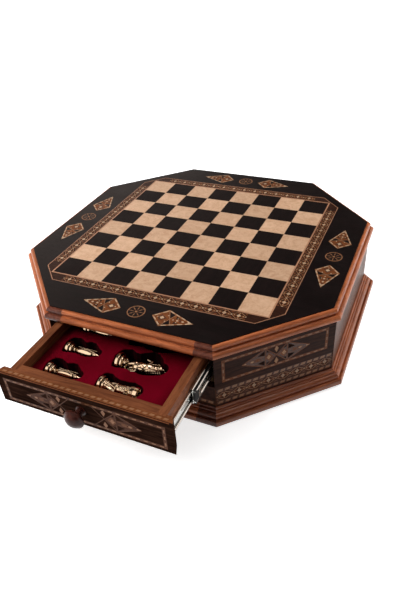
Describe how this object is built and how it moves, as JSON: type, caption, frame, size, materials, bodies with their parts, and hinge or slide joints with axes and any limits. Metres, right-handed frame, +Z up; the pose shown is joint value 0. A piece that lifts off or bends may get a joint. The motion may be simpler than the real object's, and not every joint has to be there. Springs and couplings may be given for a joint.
{
  "type": "chess box with drawers",
  "caption": "Eight-sided inlaid wooden chess board box with two opposite drawers on telescopic slides, one open and holding metal figures in velvet nests.",
  "frame": {"origin": "middle of the flat underside, below the centre of the chess board", "axes": "+Z up out of the board, -Y the way the front drawer opens, +X to the right as seen from the front drawer"},
  "size_m": [0.566, 0.7, 0.132],
  "materials": {
    "walnut": "satin lacquer over walnut",
    "light_walnut": "satin lacquer over light walnut",
    "rosewood": "satin lacquer over dark rosewood",
    "blackwood": "satin lacquer over near-black wenge",
    "carcass_wood": "plain unpolished beech",
    "maple_burl": "satin lacquer over maple burl",
    "light_inlay": "satin light inlay wood",
    "brown_inlay": "satin brown inlay wood",
    "mosaic": "satin mosaic of light, brown and dark wood",
    "velvet": "soft red pile",
    "steel": "bright zinc plate",
    "black_plastic": "moulded black plastic",
    "knob_wood": "polished turned rosewood",
    "figure_brass": "polished, with dark recesses"
  },
  "bodies": {
    "case": {"base_board": "carcass_wood", "base_sticks": "light_walnut", "base_ends": "rosewood", "base_corners": "light_walnut", "front_rail": "blackwood", "back_rail": "blackwood", "rail_strips": "mosaic", "side_panels": "walnut", "corner_panels": "blackwood", "corner_inlays": "light_inlay", "corner_bands": "mosaic", "band_lights": "light_inlay", "runner_walls": "carcass_wood", "compartment_floor": "carcass_wood", "middle_wall": "carcass_wood", "top_board": "carcass_wood", "top_panel": "blackwood", "top_inlays": "light_inlay", "kite_hearts": "brown_inlay", "light_squares": "maple_burl", "dark_squares": "blackwood", "field_lines": "light_inlay", "mosaic_border": "mosaic", "border_lights": "light_inlay", "cornice_sticks": "light_walnut", "cornice_ends": "rosewood", "cornice_corners": "light_walnut", "outer_members": "steel", "runner_screws": "steel"},
    "front_drawer": {"front_board": "blackwood", "front_strip": "mosaic", "front_inlay": "light_inlay", "front_walls": "walnut", "front_bottom": "carcass_wood", "front_velvet": "velvet", "front_knob": "knob_wood", "front_knob_screw": "steel", "front_inner_members": "steel", "front_slide_screws": "steel", "front_bumpers": "black_plastic", "pawn_third": "figure_brass"},
    "front_slide": {"front_middle_members": "steel", "front_retainers": "black_plastic"},
    "back_drawer": {"back_board": "blackwood", "back_strip": "mosaic", "back_inlay": "light_inlay", "back_walls": "walnut", "back_bottom": "carcass_wood", "back_velvet": "velvet", "back_knob": "knob_wood", "back_knob_screw": "steel", "back_inner_members": "steel", "back_slide_screws": "steel", "back_bumpers": "black_plastic"},
    "back_slide": {"back_middle_members": "steel", "back_retainers": "black_plastic"},
    "near_pawn": {"pawn_near": "figure_brass"},
    "far_pawn": {"pawn_far": "figure_brass"},
    "rook": {"rook": "figure_brass"},
    "knight": {"knight": "figure_brass"}
  },
  "joints": [
    {"name": "front_drawer_slide", "type": "slide", "parent": "case", "child": "front_drawer", "axis": [0, -1, 0], "range_m": [-0.12, 0.095]},
    {"name": "front_slide_follow", "type": "slide", "parent": "case", "child": "front_slide", "axis": [0, -1, 0], "range_m": [-0.06, 0.0475]},
    {"name": "back_drawer_slide", "type": "slide", "parent": "case", "child": "back_drawer", "axis": [0, 1, 0], "range_m": [0, 0.215]},
    {"name": "back_slide_follow", "type": "slide", "parent": "case", "child": "back_slide", "axis": [0, 1, 0], "range_m": [0, 0.1075]},
    {"name": "near_pawn_lift", "type": "slide", "parent": "front_drawer", "child": "near_pawn", "axis": [0, 0, 1], "range_m": [0, 0.06]},
    {"name": "far_pawn_lift", "type": "slide", "parent": "front_drawer", "child": "far_pawn", "axis": [0, 0, 1], "range_m": [0, 0.06]},
    {"name": "rook_lift", "type": "slide", "parent": "front_drawer", "child": "rook", "axis": [0, 0, 1], "range_m": [0, 0.06]},
    {"name": "knight_lift", "type": "slide", "parent": "front_drawer", "child": "knight", "axis": [0, 0, 1], "range_m": [0, 0.06]}
  ],
  "couplings": [
    {"joint": "front_slide_follow", "follows": "front_drawer_slide", "ratio": 0.5},
    {"joint": "back_slide_follow", "follows": "back_drawer_slide", "ratio": 0.5}
  ]
}
